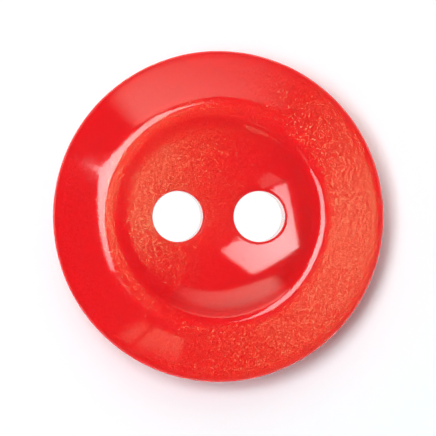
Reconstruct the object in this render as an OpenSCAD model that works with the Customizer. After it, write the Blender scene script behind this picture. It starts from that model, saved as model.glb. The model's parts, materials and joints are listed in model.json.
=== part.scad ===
// Two-hole sew-through button: a wide sloping rim, eased into a rounded crest ring, and a dished well.
// It is turned and drilled from one blank, so it is one solid. Sizes are in millimetres.
// The origin is the centre of the back, +Z points out of the face, and +X runs through both holes.

/* [Button] */
// Outside diameter
diameter = 15; // [13.5:0.25:20]
// Height of the crest ring above the back
thickness = 3; // [2.7:0.1:4.5]

/* [Rim] */
// Diameter of the crest ring, where the rim turns down into the well
crest_d = 10; // [9.4:0.1:11.5]
// Radius that rounds the crest
crest_r = 1.6; // [0.4:0.1:1.8]
// Radius of the shoulder that eases the crest into the rim
shoulder_r = 9.5; // [3:0.5:12]
// How much flatter the shoulder is where it leaves the crest than where it meets the rim, in degrees
shoulder_ease = 2.7; // [0.5:0.1:5]
// Slope of the rim beside the shoulder, in degrees
rim_slope = 15.2; // [10:0.2:20]
// How much steeper the rim is at its outer edge, in degrees
rim_crown = 0.5; // [0.3:0.1:3]
// Radius that rounds the outer edge of the face
edge_r = 0.25; // [0.2:0.05:0.8]

/* [Well] */
// Diameter of the spherical dish in the bottom of the well
dish_d = 8.6; // [7:0.1:8.8]
// Slope of the dish at its own edge, in degrees
dish_slope = 18.8; // [8:0.2:20]
// Slope of the wall between dish and crest, in degrees
wall_slope = 22; // [21:1:45]
// Radius of the hollow where the dish meets the wall
foot_r = 1; // [0.2:0.1:1.5]

/* [Side and back] */
// Height of the straight band around the side
band_h = 0.25; // [0.05:0.05:0.6]
// Diameter of the flat that rests on the cloth
flat_d = 9.4; // [7:0.1:11]
// Radius that rounds the edge of the flat
flat_r = 1.5; // [0.3:0.1:2.5]
// Radius that rounds the outer edge of the back
back_r = 0.8; // [0.3:0.1:1.1]

/* [Sewing holes] */
// Diameter of each hole
hole_d = 2.3; // [1.5:0.05:2.8]
// Distance between the two hole centres
hole_pitch = 3.7; // [3:0.1:4.6]
// Width of the broken edge around each hole mouth
hole_lip = 0.12; // [0.05:0.01:0.25]

/* [Hidden] */
$fn = 96;
button_red = [0.93, 0.11, 0.14];

// Largest turn between neighbouring points of a round stretch, in degrees
arc_step = 1.5;
// Largest share of the wall's width that its two roundings may take up
longest_fillets = 0.95;
// Largest share of the way from crest to edge that the shoulder may take up
longest_shoulder = 0.6;
// How far a drill or a countersink runs past the surface that it cuts
overrun = 0.5;

// A slope is given here as the lean of the surface's normal: positive leans away from the axis.
function normal(lean) = [sin(lean), cos(lean)];

// Points of an arc whose normal leans from one angle to another. A hollow arc has a negative radius.
// An arc that goes on from another without a straight stretch leaves out their shared point.
function arc(centre, radius, from, to, goes_on = false) =
    let (steps = max(2, ceil(abs(to - from) / arc_step)))
    [for (i = [goes_on ? 1 : 0:steps]) centre + radius * normal(from + (to - from) * i / steps)];

// Foot and crest share the width of the wall, so both roundings shrink together if it is short.
dish_edge = dish_d / 2;
wall_width = crest_d / 2 - dish_edge;
fillet_width = foot_r * (sin(wall_slope) - sin(dish_slope)) + crest_r * sin(wall_slope);
fillet_share = min(1, longest_fillets * wall_width / fillet_width);
foot_radius = foot_r * fillet_share;
crest_radius = crest_r * fillet_share;

// Crest
crest_centre = [crest_d / 2, thickness - crest_radius];
wall_top = crest_centre + crest_radius * normal(-wall_slope);

// Wall and foot, followed down from the crest
wall_run = wall_width - fillet_width * fillet_share;
wall_foot = wall_top - [wall_run, wall_run * tan(wall_slope)];
foot_centre = wall_foot + foot_radius * normal(-wall_slope);

// Dish, a hollow sphere that meets the foot without a crease
dish_radius = dish_edge / sin(dish_slope);
dish_centre = [0, foot_centre.y + (dish_radius - foot_radius) * cos(dish_slope)];

// Shoulder, which shrinks if the way from crest to edge is short
crest_slope = rim_slope - shoulder_ease;
edge_slope = rim_slope + rim_crown;
crest_side = crest_radius * sin(crest_slope);
edge_side = edge_r * (1 - sin(edge_slope));
crest_to_edge = (diameter - crest_d) / 2 - crest_side - edge_side;
shoulder_turn = sin(rim_slope) - sin(crest_slope);
shoulder_radius = min(shoulder_r, longest_shoulder * crest_to_edge / shoulder_turn);
shoulder_centre = crest_centre + (crest_radius - shoulder_radius) * normal(crest_slope);

// Rim, a slightly crowned cone from the shoulder to the rounded edge
rim_width = crest_to_edge - shoulder_radius * shoulder_turn;
rim_radius = rim_width / (sin(edge_slope) - sin(rim_slope));
rim_centre = shoulder_centre + (shoulder_radius - rim_radius) * normal(rim_slope);
edge_centre = rim_centre + (rim_radius - edge_r) * normal(edge_slope);

// Side band, and the back's cone as the tangent of its two roundings
back_centre = [diameter / 2 - back_r, edge_centre.y - band_h];
flat_centre = [flat_d / 2, flat_r];
back_span = back_centre - flat_centre;
back_slope = atan2(back_span.y, back_span.x) - asin((back_r - flat_r) / norm(back_span));

// Height of the dish above the back, at a distance from the axis
function dish_z(distance) = dish_centre.y - sqrt(pow(dish_radius, 2) - pow(distance, 2));

// Half section of the turned blank, from the middle of the back round to the middle of the well
function half_section() = concat(
    [[0, 0]],
    arc(flat_centre, flat_r, 180, 180 - back_slope),
    arc(back_centre, back_r, 180 - back_slope, 90),
    arc(edge_centre, edge_r, 90, edge_slope),
    arc(rim_centre, rim_radius, edge_slope, rim_slope, goes_on = true),
    arc(shoulder_centre, shoulder_radius, rim_slope, crest_slope, goes_on = true),
    arc(crest_centre, crest_radius, crest_slope, -wall_slope, goes_on = true),
    arc(foot_centre, -foot_radius, -wall_slope, -dish_slope),
    arc(dish_centre, -dish_radius, -dish_slope, 0, goes_on = true)
);

module turned_blank() {
    rotate_extrude() polygon(half_section());
}

// Countersink that breaks the edge of a hole mouth. Its mouth lies at z = 0 and opens upwards.
module countersink() {
    rise = hole_lip + overrun;
    translate([0, 0, -hole_lip])
        cylinder(h = rise, r1 = hole_d / 2, r2 = hole_d / 2 + rise);
}

// One drilled hole, with both mouths broken. The mouth in the dish leans with the dish.
module sewing_hole() {
    distance = hole_pitch / 2;
    face_z = dish_z(distance);
    dish_lean = asin(distance / dish_radius);
    translate([distance, 0, 0]) {
        translate([0, 0, -overrun])
            cylinder(h = face_z + 2 * overrun, r = hole_d / 2);
        translate([0, 0, face_z])
            rotate([0, -dish_lean, 0])
                countersink();
        mirror([0, 0, 1])
            countersink();
    }
}

module button() {
    color(button_red)
        difference() {
            turned_blank();
            for (side = [0, 180])
                rotate([0, 0, side])
                    sewing_hole();
        }
}

button();
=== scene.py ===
"""Models a two-hole sew-through button in polished red pearl resin, and lights it on a white table."""

import json
from math import asin, atan2, ceil, cos, hypot, pi, radians, sin, sqrt, tan

import bmesh
import bpy
from bpy.props import FloatProperty, FloatVectorProperty, PointerProperty
from bpy.types import Operator, Panel, PropertyGroup
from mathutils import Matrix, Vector


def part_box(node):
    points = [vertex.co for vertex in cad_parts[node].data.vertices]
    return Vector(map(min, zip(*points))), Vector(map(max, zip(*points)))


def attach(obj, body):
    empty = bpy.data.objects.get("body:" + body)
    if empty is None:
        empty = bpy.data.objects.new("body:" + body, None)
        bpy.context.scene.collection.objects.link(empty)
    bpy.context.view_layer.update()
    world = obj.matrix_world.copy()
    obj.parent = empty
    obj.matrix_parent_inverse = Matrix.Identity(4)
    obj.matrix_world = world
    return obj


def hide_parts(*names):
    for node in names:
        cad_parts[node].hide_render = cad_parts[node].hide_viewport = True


bl_info = {
    "name": "Sew-through Button",
    "version": (1, 0, 0),
    "blender": (4, 5, 0),
    "location": "3D View > Sidebar > Button",
    "description": "Turns a two-hole button from pearl resin and sets a small studio around it",
    "category": "Object",
}

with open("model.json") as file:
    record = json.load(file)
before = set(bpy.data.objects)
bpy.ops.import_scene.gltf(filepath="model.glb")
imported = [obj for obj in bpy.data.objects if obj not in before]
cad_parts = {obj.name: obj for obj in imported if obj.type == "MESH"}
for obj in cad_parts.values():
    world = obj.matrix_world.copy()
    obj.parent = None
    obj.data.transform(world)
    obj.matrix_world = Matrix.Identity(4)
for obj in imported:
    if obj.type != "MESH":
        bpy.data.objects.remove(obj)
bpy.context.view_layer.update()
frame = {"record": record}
NODE = "button"
SLOT = "pearl_resin"
MM = 0.001

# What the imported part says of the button's size
LOW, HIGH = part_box(NODE)
MOUNTS = {mount["name"]: mount for mount in frame["record"]["mounts"]}
HOLE_RADIUS = MOUNTS["right_hole"]["dims"]["r_mm"] * MM
HOLE_PLACE = MOUNTS["right_hole"]["pos_m"][0]

# Vertices nearer to each other than this are one vertex
WELD = 0.001 * MM
# Largest turn between neighbouring points of a round stretch, and fewest steps in one
ARC_STEP = radians(2.5)
FEWEST_STEPS = 8
# Segments round the button, and along the line between the holes
SEGMENTS = 192
MIDLINE_SEGMENTS = 44
# Cuts from the join to a hole, steps round a hole mouth, and cuts down a hole
WEB_CUTS = 20
LIP_STEPS = 6
WALL_CUTS = 10

RESIN_IOR = 1.5
# How far red, green and blue light travel in the resin, as shares of the glow depth
GLOW_REACH = (1.0, 0.12, 0.1)

# Flakes lie level in the resin, but light bends at the polished surface, so they seem to lean against the
# surface above them. Each pair is a distance from the middle of their pattern, in millimetres, and a lean
# outwards, in degrees.
FLAKE_LEANS = (
    (0.0, 0.0),
    (1.33, 2.5),
    (2.0, 4.0),
    (2.79, 6.1),
    (3.5, 10.2),
    (3.74, 13.4),
    (3.9, 18.0),
    (4.03, 24.5),
    (4.27, 28.0),
    (4.48, 19.0),
    (4.66, 12.0),
    (5.1, 0.0),
    (5.38, -6.2),
    (5.64, -9.6),
    (5.92, -10.6),
    (6.99, -11.2),
    (7.2, -12.6),
    (7.34, -15.5),
    (7.5, -20.0),
    (7.66, -24.5),
)
# Ends of the scales for these distances and leans
FARTHEST = 8.0
GREATEST_LEAN = 30.0
# The middle of the pattern is seen a little towards the main panel
FLAKE_MIDDLE = (-0.26 * MM, 0.12 * MM, 0.0)
# Normal of a level flake, which is tilted a little towards the main panel
FLAKE_TILT = (-0.02, 0.045, 1.0)
# How far the most tipped flakes are tipped, as a slope across and up the picture
GREATEST_TIP = (0.32, -0.18, 0.0)
# Middle of the random colours that tell flakes apart
MEAN_CHANCE = (0.5, 0.5, 0.5)
# Above the first of these upright parts of the surface's normal, flakes are seen face on. Below the second
# they follow the surface.
FACE_ON = 0.75
EDGE_ON = 0.45
# Keeps the level part of a vector
LEVEL_PART = (1.0, 1.0, 0.0)
# Sockets of a Mix node that take and give vectors
MIX_FIRST = 4
MIX_SECOND = 5
MIX_RESULT = 1

# Corners of the light panels, as the way to them from the button: across and up the picture for each unit
# of height
MAIN_PANEL = (
    (0.045, 0.23),
    (-0.17, 0.405),
    (-0.237, 0.377),
    (-0.51, 0.228),
    (-0.477, 0.085),
    (-0.41, -0.235),
    (-0.33, -0.21),
    (-0.20, -0.07),
    (-0.21, 0.00),
    (-0.19, 0.10),
    (-0.15, 0.165),
    (-0.083, 0.16),
    (-0.037, 0.164),
)
DIM_PANEL = ((-0.225, -0.18), (-0.215, -0.255), (-0.277, -0.305), (-0.385, -0.26))
SIDE_PANEL = (
    (-0.347, 0.403),
    (-0.198, 0.454),
    (0.06, 0.528),
    (0.20, 0.523),
    (0.42, 0.485),
    (1.10, 0.90),
    (1.20, 1.50),
    (-1.10, 1.30),
)
# Corners of the two panes of a small window: how far round the button they are, in degrees clockwise from
# the right, and how far out they lie for each unit of height
WINDOW_PANES = (
    ((105.3, 0.640), (119.8, 0.643), (122.6, 0.687), (105.0, 0.687)),
    ((121.8, 0.645), (126.2, 0.655), (130.0, 0.685), (124.4, 0.686)),
)
# Heights of the panels and the window above the back of the button
MAIN_HEIGHT = 0.6
SIDE_HEIGHT = 0.2
WINDOW_HEIGHT = 0.097
# The way to the brightest place of the main panel, how far from there it has faded, for each unit of height,
# and the share of its light that is left there
MAIN_BRIGHTEST = (-0.38, 0.18, 1.0)
MAIN_FADE = 0.45
MAIN_FADED = 0.5
# Places along the side panel, across the picture for each unit up it. Its light rises from nothing between
# the first two, falls to a share between the next two, and ends between the last two.
SIDE_RISE = (-0.85, -0.65)
SIDE_FALL = (-0.5, 0.5)
SIDE_FALLEN = 0.46
SIDE_END = (0.3, 0.9)
# Distances out to the side panel, for each unit of height, between which its light also fades to a share
SIDE_FADE = (0.635, 0.7)
SIDE_FADED = 0.33
# Tints of the side and dim panels, and of the small window
WARM = (1.0, 1.0, 0.82, 1.0)
WARMER = (1.0, 0.95, 0.6, 1.0)

# Brightness of the room at the horizon and overhead, and the upright parts of the way to the room's walls
# between which it changes
ROOM_PALE = 1.9
ROOM_DIM = 0.08
ROOM_CHANGE = (0.15, 0.5)

TABLE_WIDTH = 4.0
# Tint of the table top
COOL = (0.945, 0.985, 1.035)
# Painted light: within this distance of the middle the table glows plain white, where it only shows through
# the holes, so that the holes show no shade
PAINTED_GLOW_RADIUS = 4.0 * MM

# Nearest and farthest distance that the camera shows
CLIP_START = 0.01
CLIP_END = 10.0


def length(name, description, default):
    """A size in metres, for the sidebar."""
    return FloatProperty(
        name=name,
        description=description,
        default=default,
        min=0.0,
        precision=6,
        subtype="DISTANCE",
        unit="LENGTH",
    )


def position(name, description, default):
    """A place along an axis in metres, for the sidebar."""
    return FloatProperty(name=name, description=description, default=default, precision=6, unit="LENGTH")


def slope(name, description, degrees):
    """An angle, for the sidebar."""
    return FloatProperty(
        name=name, description=description, default=radians(degrees), subtype="ANGLE", unit="ROTATION"
    )


def share(name, description, default):
    """A number from nothing to all, for the sidebar."""
    return FloatProperty(
        name=name, description=description, default=default, min=0.0, max=1.0, subtype="FACTOR"
    )


def colour(name, description, default):
    """A linear colour, for the sidebar."""
    return FloatVectorProperty(
        name=name, description=description, default=default, min=0.0, max=1.0, size=3, subtype="COLOR"
    )


def amount(name, description, default):
    """A plain number, for the sidebar."""
    return FloatProperty(name=name, description=description, default=default, min=0.0, precision=3)


class ButtonSizes(PropertyGroup):
    """Sizes of the turned button"""

    diameter: length("Diameter", "Outside diameter", HIGH.x - LOW.x)
    thickness: length("Thickness", "Height of the crest ring above the back", HIGH.z - LOW.z)
    crest_diameter: length("Crest diameter", "Diameter of the ring between rim and well", 10.0 * MM)
    crest_radius: length("Crest rounding", "Radius that rounds the crest", 1.6 * MM)
    crest_slope: slope("Crest slope", "Slope where the crest's rounding ends on the rim", 12.5)
    shoulder_radius: length("Shoulder rounding", "Radius that eases the crest into the rim", 9.5 * MM)
    rim_slope: slope("Rim slope", "Slope of the rim beside the shoulder", 15.2)
    rim_crown: slope("Rim crown", "How much steeper the rim is at its outer edge", 0.5)
    edge_radius: length("Edge rounding", "Radius that rounds the outer edge of the face", 0.25 * MM)
    dish_diameter: length("Dish diameter", "Diameter of the spherical dish in the well", 8.6 * MM)
    dish_slope: slope("Dish slope", "Slope of the dish at its own edge", 18.8)
    wall_slope: slope("Wall slope", "Slope of the wall between dish and crest", 22.0)
    foot_radius: length("Foot rounding", "Radius of the hollow where the dish meets the wall", 1.0 * MM)
    band_height: length("Side band", "Height of the straight band around the side", 0.25 * MM)
    flat_diameter: length("Flat diameter", "Diameter of the flat on the back", 9.4 * MM)
    flat_radius: length("Flat rounding", "Radius that rounds the edge of the flat", 1.5 * MM)
    back_radius: length("Back rounding", "Radius that rounds the outer edge of the back", 0.8 * MM)
    hole_diameter: length("Hole diameter", "Diameter of each hole", 2 * HOLE_RADIUS)
    hole_place: length("Hole place", "Distance of each hole from the middle", HOLE_PLACE)
    hole_lip: length("Hole lip", "Radius that rounds each hole mouth", 0.14 * MM)


class PearlFinish(PropertyGroup):
    """Look of the resin"""

    resin: colour("Resin", "Colour of the resin", (0.99, 0.012, 0.019))
    pearl: colour("Pearl", "Tint of the light that the pearl flakes send back", (0.17, 0.41, 0.175))
    flake_size: length("Flake size", "Distance from one flake to the next", 0.042 * MM)
    flake_spread: amount("Flake spread", "How far flakes lean out of the level", 0.1)
    tipped_share: share("Tipped flakes", "Share of the flakes that are tipped away from the main panel", 0.48)
    flake_smooth: share("Smoothest flake", "Roughness of the smoothest flakes", 0.1)
    flake_rough: share("Roughest flake", "Roughness of the roughest flakes", 0.2)
    shine: share("Shine", "Strength of the polish's reflections", 0.62)
    polish: share("Polish roughness", "Roughness of the polished surface", 0.06)
    glow: share("Glow", "Share of the light that goes into the resin and comes out elsewhere", 0.6)
    glow_depth: length("Glow depth", "How far red light travels in the resin", 1.2 * MM)


class StudioLook(PropertyGroup):
    """Camera and light"""

    camera_distance: length("Camera distance", "From the button to the camera", 0.26)
    camera_lean: slope("Camera lean", "How far the camera stands left of straight above", 3.5)
    frame_width: length("Frame width", "Width of the picture at the button", 19.9 * MM)
    aim_x: position("Aim X", "Where the camera looks, across the picture", 0.109 * MM)
    aim_y: position("Aim Y", "Where the camera looks, up the picture", -0.067 * MM)
    main_light: amount("Main panel", "Brightness of the main panel at its brightest place", 19.0)
    dim_light: amount("Dim panel", "Brightness of the dim panel beside the main one", 1.8)
    side_light: amount("Side panel", "Brightness that the side panel's fading starts from", 4.6)
    window_light: amount("Window", "Brightness of the small window", 2.4)
    table: share("Table", "Share of the light that the table sends back to the button", 0.9)
    table_seen: amount("Table in the picture", "How white the camera sees the table", 1.07)


class Section:
    """Half section of the turned button: centres of its roundings, and its points."""

    def __init__(self, sizes):
        self.sizes = s = sizes
        # The turned part and the drilled web meet half-way between a hole and the edge of the dish
        self.join = (s.hole_place + s.hole_diameter / 2 + s.dish_diameter / 2) / 2
        wall_width = (s.crest_diameter - s.dish_diameter) / 2
        foot_width = s.foot_radius * (sin(s.wall_slope) - sin(s.dish_slope))
        crest_width = s.crest_radius * sin(s.wall_slope)
        wall_run = wall_width - foot_width - crest_width
        self.crest = Vector((s.crest_diameter / 2, s.thickness - s.crest_radius))
        wall_top = self.crest + s.crest_radius * self.normal(-s.wall_slope)
        wall_foot = wall_top - Vector((wall_run, wall_run * tan(s.wall_slope)))
        self.foot = wall_foot + s.foot_radius * self.normal(-s.wall_slope)
        self.dish_radius = s.dish_diameter / 2 / sin(s.dish_slope)
        self.dish = Vector((0.0, self.foot.y + (self.dish_radius - s.foot_radius) * cos(s.dish_slope)))
        self.edge_slope = s.rim_slope + s.rim_crown
        self.shoulder = self.crest + (s.crest_radius - s.shoulder_radius) * self.normal(s.crest_slope)
        rim_start = self.shoulder.x + s.shoulder_radius * sin(s.rim_slope)
        rim_end = s.diameter / 2 - s.edge_radius * (1 - sin(self.edge_slope))
        self.rim_radius = (rim_end - rim_start) / (sin(self.edge_slope) - sin(s.rim_slope))
        self.rim = self.shoulder + (s.shoulder_radius - self.rim_radius) * self.normal(s.rim_slope)
        self.edge = self.rim + (self.rim_radius - s.edge_radius) * self.normal(self.edge_slope)
        self.back = Vector((s.diameter / 2 - s.back_radius, self.edge.y - s.band_height))
        self.flat = Vector((s.flat_diameter / 2, s.flat_radius))
        span = self.back - self.flat
        self.back_slope = atan2(span.y, span.x) - asin((s.back_radius - s.flat_radius) / span.length)

    @staticmethod
    def normal(lean):
        """Normal of a surface that leans away from the axis."""
        return Vector((sin(lean), cos(lean)))

    def arc(self, centre, radius, start, end):
        """Points of an arc, by the lean of its normal. A hollow arc has a negative radius."""
        steps = max(FEWEST_STEPS, ceil(abs(end - start) / ARC_STEP))
        return [centre + radius * self.normal(start + (end - start) * i / steps) for i in range(steps + 1)]

    def dish_height(self, distance):
        """Height of the dish at a distance from the axis."""
        return self.dish.y - sqrt(self.dish_radius**2 - distance**2)

    def points(self):
        """From the join on the back round the edge to the join in the dish."""
        s = self.sizes
        join_slope = asin(self.join / self.dish_radius)
        line = [Vector((self.join, 0.0))]
        for stretch in (
            self.arc(self.flat, s.flat_radius, pi, pi - self.back_slope),
            self.arc(self.back, s.back_radius, pi - self.back_slope, pi / 2),
            self.arc(self.edge, s.edge_radius, pi / 2, self.edge_slope),
            self.arc(self.rim, self.rim_radius, self.edge_slope, s.rim_slope),
            self.arc(self.shoulder, s.shoulder_radius, s.rim_slope, s.crest_slope),
            self.arc(self.crest, s.crest_radius, s.crest_slope, -s.wall_slope),
            self.arc(self.foot, -s.foot_radius, -s.wall_slope, -s.dish_slope),
            self.arc(self.dish, -self.dish_radius, -s.dish_slope, -join_slope),
        ):
            line += [point for point in stretch if (point - line[-1]).length > WELD]
        return line


def start_piece(name, add, **options):
    """Adds a primitive as the only selected object, named, and opens it in edit mode."""
    bpy.ops.object.select_all(action="DESELECT")
    add(**options)
    piece = bpy.context.object
    piece.name = piece.data.name = name
    bpy.ops.object.mode_set(mode="EDIT")
    return piece


def pick(piece, domain, wanted):
    """Selects the vertices or edges for which a test is true, and nothing else."""
    bpy.ops.mesh.select_mode(type="VERT" if domain == "verts" else "EDGE")
    bpy.ops.mesh.select_all(action="DESELECT")
    shape = bmesh.from_edit_mesh(piece.data)
    for element in getattr(shape, domain):
        if wanted(element):
            element.select_set(True)
    shape.select_flush_mode()
    bmesh.update_edit_mesh(piece.data)


def pick_open_edges(piece, middle, radius):
    """Selects the open edges within a radius of a hole's middle."""

    def wanted(edge):
        return edge.is_boundary and all((v.co.xy - middle).length < radius + WELD for v in edge.verts)

    pick(piece, "edges", wanted)


def join_pieces(pieces):
    """Makes one object of several, in object mode."""
    bpy.ops.object.select_all(action="DESELECT")
    for piece in pieces:
        piece.select_set(True)
    bpy.context.view_layer.objects.active = pieces[0]
    bpy.ops.object.join()
    return bpy.context.object


def turn_rim(section):
    """Spins the section from the join on the back round to the join in the dish."""
    points = section.points()
    rim = start_piece("rim", bpy.ops.mesh.primitive_plane_add, size=MM)
    bpy.ops.mesh.merge(type="CENTER")
    bpy.ops.transform.translate(value=(points[0].x, 0.0, points[0].y))
    for before, after in zip(points, points[1:]):
        step = (after.x - before.x, 0.0, after.y - before.y)
        bpy.ops.mesh.extrude_vertices_move(TRANSFORM_OT_translate={"value": step})
    bpy.ops.mesh.select_all(action="SELECT")
    bpy.ops.mesh.spin(steps=SEGMENTS, angle=2 * pi, center=(0.0, 0.0, 0.0), axis=(0.0, 0.0, 1.0))
    bpy.ops.object.mode_set(mode="OBJECT")
    return rim


def half_web(name, section, height, inwards):
    """Half of the web inside the join, with one hole mouth. inwards is the way into the resin along Z."""
    s = section.sizes
    mouth = s.hole_diameter / 2 + s.hole_lip
    hole = Vector((s.hole_place, 0.0))
    web = start_piece(name, bpy.ops.mesh.primitive_circle_add, vertices=SEGMENTS, radius=section.join)
    pick(web, "verts", lambda v: v.co.x < -WELD)
    bpy.ops.mesh.delete(type="VERT")
    pick(web, "verts", lambda v: v.co.x < WELD)
    bpy.ops.mesh.edge_face_add()
    bpy.ops.mesh.subdivide(number_cuts=MIDLINE_SEGMENTS - 1)
    mouth_segments = SEGMENTS // 2 + MIDLINE_SEGMENTS
    bpy.ops.mesh.select_all(action="DESELECT")
    bpy.ops.mesh.primitive_circle_add(vertices=mouth_segments, radius=mouth, location=(hole.x, hole.y, 0.0))
    bpy.ops.mesh.select_mode(type="EDGE")
    bpy.ops.mesh.select_all(action="SELECT")
    bpy.ops.mesh.bridge_edge_loops(number_cuts=WEB_CUTS, interpolation="LINEAR")
    bpy.ops.object.mode_set(mode="OBJECT")
    for vertex in web.data.vertices:
        vertex.co.z = height(hypot(vertex.co.x, vertex.co.y))
    bpy.ops.object.mode_set(mode="EDIT")
    pick_open_edges(web, hole, mouth)
    turn = pi / 2 / LIP_STEPS
    radius = mouth
    for step in range(LIP_STEPS):
        drop = s.hole_lip * (cos(step * turn) - cos((step + 1) * turn))
        bpy.ops.mesh.extrude_edges_move(TRANSFORM_OT_translate={"value": (0.0, 0.0, inwards * drop)})
        narrower = mouth - s.hole_lip * sin((step + 1) * turn)
        ratio = narrower / radius
        bpy.ops.transform.resize(value=(ratio, ratio, 1.0), center_override=(hole.x, hole.y, 0.0))
        radius = narrower
    bpy.ops.object.mode_set(mode="OBJECT")
    return web


def drill_web(section):
    """The web inside the join, on face and back, with both holes through it."""
    s = section.sizes
    web = join_pieces(
        [
            half_web("web", section, section.dish_height, -1.0),
            half_web("web_back", section, lambda distance: 0.0, 1.0),
        ]
    )
    bpy.ops.object.mode_set(mode="EDIT")
    pick_open_edges(web, Vector((s.hole_place, 0.0)), s.hole_diameter / 2)
    bpy.ops.mesh.bridge_edge_loops(number_cuts=WALL_CUTS, interpolation="LINEAR")
    bpy.ops.object.mode_set(mode="OBJECT")
    mirror = web.modifiers.new("other_half", "MIRROR")
    mirror.merge_threshold = WELD
    bpy.ops.object.modifier_apply(modifier=mirror.name)
    return web


class Nodes:
    """Short way to add and link the nodes of one material, or of the world."""

    def __init__(self, owner):
        self.owner = owner
        owner.use_nodes = True
        self.tree = owner.node_tree
        self.tree.nodes.clear()

    def add(self, kind, inputs=None, **settings):
        """A node with settings, and inputs that are values or other nodes' sockets."""
        node = self.tree.nodes.new(kind)
        for key, value in settings.items():
            setattr(node, key, value)
        for key, value in (inputs or {}).items():
            if isinstance(value, bpy.types.NodeSocket):
                self.tree.links.new(value, node.inputs[key])
            else:
                node.inputs[key].default_value = value
        return node

    def maths(self, operation, *values):
        """Result of an operation on numbers."""
        return self.add("ShaderNodeMath", dict(enumerate(values)), operation=operation).outputs[0]

    def vector_maths(self, operation, *values):
        """Result of an operation on vectors."""
        inputs = dict(enumerate(values))
        return self.add("ShaderNodeVectorMath", inputs, operation=operation).outputs["Vector"]

    def scaled(self, vector, factor):
        """A vector times a number."""
        inputs = {0: vector, "Scale": factor}
        return self.add("ShaderNodeVectorMath", inputs, operation="SCALE").outputs["Vector"]

    def distance(self, vector):
        """Length of a vector."""
        return self.add("ShaderNodeVectorMath", {0: vector}, operation="LENGTH").outputs["Value"]

    def ramp(self, value, start=0.0, end=1.0, first=0.0, last=1.0, **settings):
        """A number that goes from first to last while a value goes from start to end."""
        inputs = {"Value": value, "From Min": start, "From Max": end, "To Min": first, "To Max": last}
        return self.add("ShaderNodeMapRange", inputs, **settings).outputs[0]

    def show(self, shader, output="ShaderNodeOutputMaterial"):
        """Ends the material or the world in a shader."""
        self.add(output, {"Surface": shader.outputs[0]})
        return self.owner


def flake_lean(n, distance):
    """Tangent of the flakes' lean at a distance from the middle of their pattern."""
    curve = n.add("ShaderNodeFloatCurve", {"Value": n.maths("DIVIDE", distance, FARTHEST * MM)})
    line = curve.mapping.curves[0]
    places = [(far / FARTHEST, (1 + lean / GREATEST_LEAN) / 2) for far, lean in FLAKE_LEANS]
    line.points[0].location = places[0]
    line.points[1].location = places[-1]
    for place in places[1:-1]:
        line.points.new(*place)
    for point in line.points:
        point.handle_type = "AUTO_CLAMPED"
    curve.mapping.update()
    lean = n.ramp(curve.outputs[0], first=-radians(GREATEST_LEAN), last=radians(GREATEST_LEAN))
    return n.maths("TANGENT", lean)


def pearl_resin(finish):
    """Red resin with level pearl flakes under a clear polish."""
    n = Nodes(bpy.data.materials.new(SLOT))
    place = n.add("ShaderNodeTexCoord")
    flakes = n.add(
        "ShaderNodeTexVoronoi",
        {"Vector": place.outputs["Object"], "Scale": 1.0 / finish.flake_size, "Randomness": 1.0},
        voronoi_dimensions="3D",
        feature="F1",
    )
    from_middle = n.vector_maths("SUBTRACT", place.outputs["Object"], FLAKE_MIDDLE)
    level = n.vector_maths("MULTIPLY", from_middle, LEVEL_PART)
    leaning = n.scaled(n.vector_maths("NORMALIZE", level), flake_lean(n, n.distance(level)))
    chance = n.vector_maths("SUBTRACT", flakes.outputs["Color"], MEAN_CHANCE)
    spread = n.vector_maths("MULTIPLY", chance, (2 * finish.flake_spread, 2 * finish.flake_spread, 0.0))
    rank = n.add("ShaderNodeSeparateXYZ", {"Vector": flakes.outputs["Color"]}).outputs["Z"]
    tip = n.scaled(GREATEST_TIP, n.ramp(rank, start=1.0 - finish.tipped_share))
    loose = n.vector_maths("ADD", n.vector_maths("ADD", spread, tip), FLAKE_TILT)
    flake = n.vector_maths("NORMALIZE", n.vector_maths("ADD", leaning, loose))
    upright = n.add("ShaderNodeSeparateXYZ", {"Vector": place.outputs["Normal"]}).outputs["Z"]
    face_on = n.ramp(upright, EDGE_ON, FACE_ON, interpolation_type="SMOOTHSTEP")
    seen = n.add(
        "ShaderNodeMix",
        {"Factor": face_on, MIX_FIRST: place.outputs["Normal"], MIX_SECOND: flake},
        data_type="VECTOR",
    )
    turned = n.add(
        "ShaderNodeVectorTransform",
        {"Vector": seen.outputs[MIX_RESULT]},
        vector_type="NORMAL",
        convert_from="OBJECT",
        convert_to="WORLD",
    )
    shader = n.add(
        "ShaderNodeBsdfPrincipled",
        {
            "Base Color": (*finish.resin, 1.0),
            "Roughness": n.ramp(rank, first=finish.flake_smooth, last=finish.flake_rough),
            "IOR": RESIN_IOR,
            "Specular Tint": (*finish.pearl, 1.0),
            "Normal": turned.outputs[0],
            "Subsurface Weight": finish.glow,
            "Subsurface Radius": GLOW_REACH,
            "Subsurface Scale": finish.glow_depth,
            "Coat Weight": finish.shine,
            "Coat Roughness": finish.polish,
            "Coat IOR": RESIN_IOR,
        },
    )
    return n.show(shader)


class SEWING_BUTTON_OT_turn(Operator):
    """Turn the button's rim, crest and well, drill its holes and polish it"""

    bl_idname = "sewing_button.turn"
    bl_label = "Turn Button"

    def execute(self, context):
        section = Section(context.scene.button_sizes)
        button = join_pieces([turn_rim(section), drill_web(section)])
        button.name = button.data.name = "turned_button"
        bpy.ops.object.mode_set(mode="EDIT")
        bpy.ops.mesh.select_all(action="SELECT")
        bpy.ops.mesh.remove_doubles(threshold=WELD)
        bpy.ops.mesh.normals_make_consistent(inside=False)
        bpy.ops.object.mode_set(mode="OBJECT")
        bpy.ops.object.shade_smooth()
        button.data.materials.clear()
        button.data.materials.append(pearl_resin(context.scene.pearl_finish))
        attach(button, "root")
        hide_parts(NODE)
        return {"FINISHED"}


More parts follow.
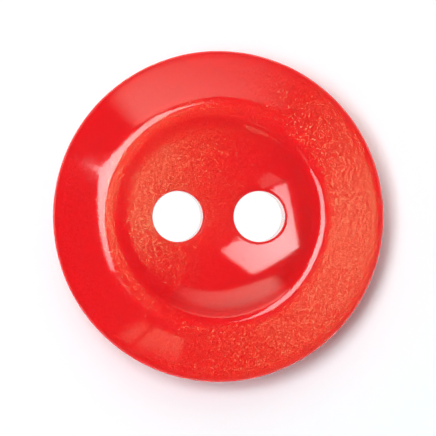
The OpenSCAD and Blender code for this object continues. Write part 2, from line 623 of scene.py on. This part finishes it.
def light_panel(name, corners, height, material):
    """A flat glowing panel above the button."""
    circle = bpy.ops.mesh.primitive_circle_add
    panel = start_piece(name, circle, vertices=len(corners), radius=1.0, fill_type="NGON")
    bpy.ops.object.mode_set(mode="OBJECT")
    for vertex, (across, up) in zip(panel.data.vertices, corners):
        vertex.co = Vector((across, up, 1.0)) * height
    panel.data.materials.append(material)
    panel.visible_camera = False


def even_panel(name, corners, height, brightness, tint):
    """A panel that is as bright all over."""
    n = Nodes(bpy.data.materials.new(name))
    shader = n.add("ShaderNodeEmission", {"Color": tint, "Strength": brightness})
    light_panel(name, corners, height, n.show(shader))


def main_panel(look):
    """A large panel that is brightest at one place and dimmer away from it."""
    n = Nodes(bpy.data.materials.new("main_panel"))
    place = n.add("ShaderNodeTexCoord").outputs["Object"]
    away = n.distance(n.vector_maths("SUBTRACT", place, Vector(MAIN_BRIGHTEST) * MAIN_HEIGHT))
    faded = MAIN_FADED * look.main_light
    strength = n.ramp(away, end=MAIN_FADE * MAIN_HEIGHT, first=look.main_light, last=faded)
    shader = n.add("ShaderNodeEmission", {"Strength": strength})
    light_panel("main_panel", MAIN_PANEL, MAIN_HEIGHT, n.show(shader))


def side_panel(look):
    """A panel that lights up near its left end, and fades to the right and away from the button."""
    n = Nodes(bpy.data.materials.new("side_panel"))
    place = n.add("ShaderNodeTexCoord").outputs["Object"]
    parts = n.add("ShaderNodeSeparateXYZ", {"Vector": place})
    across = n.maths("DIVIDE", parts.outputs["X"], parts.outputs["Y"])
    rise = n.ramp(across, *SIDE_RISE)
    fall = n.ramp(across, *SIDE_FALL, first=1.0, last=SIDE_FALLEN)
    end = n.ramp(across, *SIDE_END, first=1.0, last=0.0, interpolation_type="SMOOTHSTEP")
    sideways = n.maths("MINIMUM", rise, n.maths("MULTIPLY", fall, end))
    # The reflection's own middle, which the camera's lean moves to the right
    middle = Vector((tan(look.camera_lean), 0.0, 1.0)) * SIDE_HEIGHT
    away = n.distance(n.vector_maths("SUBTRACT", place, middle))
    near, far = (distance * SIDE_HEIGHT for distance in SIDE_FADE)
    outwards = n.ramp(away, near, far, first=look.side_light, last=SIDE_FADED * look.side_light)
    strength = n.maths("MULTIPLY", sideways, outwards)
    shader = n.add("ShaderNodeEmission", {"Color": WARM, "Strength": strength})
    light_panel("side_panel", SIDE_PANEL, SIDE_HEIGHT, n.show(shader))


def small_window(look):
    """Two panes of light low in front of the button."""
    # The camera's lean moves the middle of the reflections to the right
    middle = tan(look.camera_lean)
    for number, pane in enumerate(WINDOW_PANES, start=1):
        ways = [(radians(turn), out) for turn, out in pane]
        corners = [(middle + out * cos(turn), -out * sin(turn)) for turn, out in ways]
        even_panel(f"pane_{number}", corners, WINDOW_HEIGHT, look.window_light, WARMER)


def room_light(scene):
    """A dim room whose walls are paler near the horizon."""
    n = Nodes(bpy.data.worlds.new("room"))
    way = n.add("ShaderNodeTexCoord").outputs["Generated"]
    upright = n.add("ShaderNodeSeparateXYZ", {"Vector": way}).outputs["Z"]
    strength = n.ramp(upright, *ROOM_CHANGE, first=ROOM_PALE, last=ROOM_DIM)
    room = n.add("ShaderNodeBackground", {"Strength": strength})
    scene.world = n.show(room, "ShaderNodeOutputWorld")


def lay_table(look):
    """A wide white table top under the button, which glows with painted light where it shows through the
    holes.
    """
    table = start_piece("table", bpy.ops.mesh.primitive_plane_add, size=TABLE_WIDTH)
    bpy.ops.object.mode_set(mode="OBJECT")
    n = Nodes(bpy.data.materials.new("table"))
    ray = n.add("ShaderNodeLightPath")
    seen = n.maths("ADD", ray.outputs["Is Camera Ray"], ray.outputs["Is Glossy Ray"])
    seen = n.maths("ADD", seen, ray.outputs["Is Transmission Ray"])
    white = n.scaled(COOL, n.ramp(seen, first=look.table, last=look.table_seen))
    lit = n.add("ShaderNodeBsdfDiffuse", {"Color": white})
    place = n.add("ShaderNodeTexCoord").outputs["Object"]
    # Painted light: under the button the table glows plain white, which takes the shade out of the holes
    under = n.maths("LESS_THAN", n.distance(place), PAINTED_GLOW_RADIUS)
    plain = n.add("ShaderNodeEmission", {"Strength": 1.0})
    painted_glow_share = n.maths("MULTIPLY", under, seen)
    shader = n.add("ShaderNodeMixShader", {0: painted_glow_share, 1: lit.outputs[0], 2: plain.outputs[0]})
    table.data.materials.append(n.show(shader))


def set_camera(scene, look):
    """Looks almost straight down, from a little to the left."""
    data = bpy.data.cameras.new("camera")
    camera = bpy.data.objects.new("camera", data)
    scene.collection.objects.link(camera)
    aim = Vector((look.aim_x, look.aim_y, 0.0))
    back = Vector((-sin(look.camera_lean), 0.0, cos(look.camera_lean)))
    camera.location = aim + back * look.camera_distance
    camera.rotation_euler = (0.0, -look.camera_lean, 0.0)
    data.lens = data.sensor_width * look.camera_distance / look.frame_width
    data.clip_start = CLIP_START
    data.clip_end = CLIP_END
    scene.camera = camera


class SEWING_BUTTON_OT_set_stage(Operator):
    """Lay the white table, hang the light panels and set the camera"""

    bl_idname = "sewing_button.set_stage"
    bl_label = "Set Stage"

    def execute(self, context):
        scene = context.scene
        look = scene.studio_look
        lay_table(look)
        main_panel(look)
        even_panel("dim_panel", DIM_PANEL, MAIN_HEIGHT, look.dim_light, WARM)
        side_panel(look)
        small_window(look)
        room_light(scene)
        set_camera(scene, look)
        scene.view_settings.view_transform = "Standard"
        return {"FINISHED"}


class SEWING_BUTTON_PT_workshop(Panel):
    """Sizes, finish and studio of the button"""

    bl_label = "Sew-through Button"
    bl_space_type = "VIEW_3D"
    bl_region_type = "UI"
    bl_category = "Button"

    def draw(self, context):
        for group in ("button_sizes", "pearl_finish", "studio_look"):
            box = self.layout.box()
            values = getattr(context.scene, group)
            for name in values.__annotations__:
                box.prop(values, name)
        self.layout.operator(SEWING_BUTTON_OT_turn.bl_idname)
        self.layout.operator(SEWING_BUTTON_OT_set_stage.bl_idname)


CLASSES = (
    ButtonSizes,
    PearlFinish,
    StudioLook,
    SEWING_BUTTON_OT_turn,
    SEWING_BUTTON_OT_set_stage,
    SEWING_BUTTON_PT_workshop,
)


def register():
    for each in CLASSES:
        bpy.utils.register_class(each)
    bpy.types.Scene.button_sizes = PointerProperty(type=ButtonSizes)
    bpy.types.Scene.pearl_finish = PointerProperty(type=PearlFinish)
    bpy.types.Scene.studio_look = PointerProperty(type=StudioLook)


def unregister():
    del bpy.types.Scene.studio_look
    del bpy.types.Scene.pearl_finish
    del bpy.types.Scene.button_sizes
    for each in reversed(CLASSES):
        bpy.utils.unregister_class(each)


def main():
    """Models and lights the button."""
    register()
    bpy.ops.sewing_button.turn()
    bpy.ops.sewing_button.set_stage()


if __name__ == "__main__":
    main()
